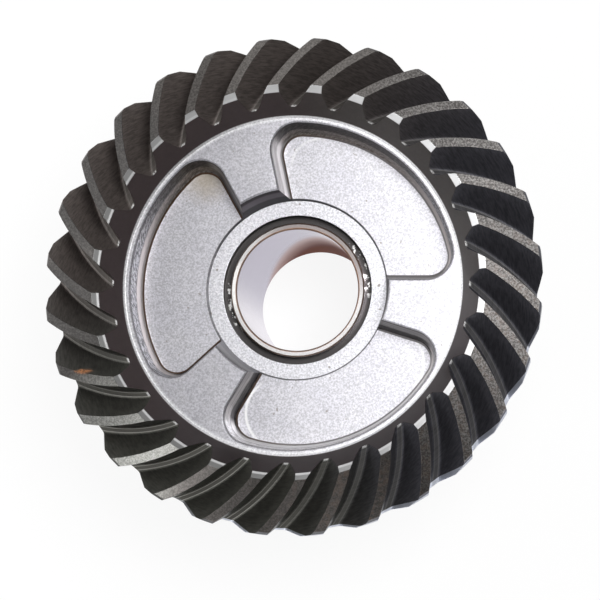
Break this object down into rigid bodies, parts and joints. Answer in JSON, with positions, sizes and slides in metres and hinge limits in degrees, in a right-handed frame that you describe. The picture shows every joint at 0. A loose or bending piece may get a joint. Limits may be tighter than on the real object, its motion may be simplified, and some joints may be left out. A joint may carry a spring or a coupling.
{
  "type": "spiral bevel reverse gear",
  "caption": "Spiral bevel gear with drafted dog-clutch pockets in its face and a pressed-in bush, for a boat drive's reverse.",
  "frame": {"origin": "on the gear axis at the rear end face of the hub", "axes": "+Z along the gear axis, out of the toothed and pocketed face; +X is a fixed direction across the face"},
  "size_m": [0.1026, 0.1026, 0.0495],
  "materials": {
    "gear_steel": "fine-blasted clutch face, dark oxidised tooth flanks, ground bearing seat",
    "bush_bronze": "steel-backed bronze, fine-bored, bright end face"
  },
  "bodies": {
    "root": {"reverse_gear": "gear_steel", "bore_bush": "bush_bronze"}
  },
  "joints": []
}
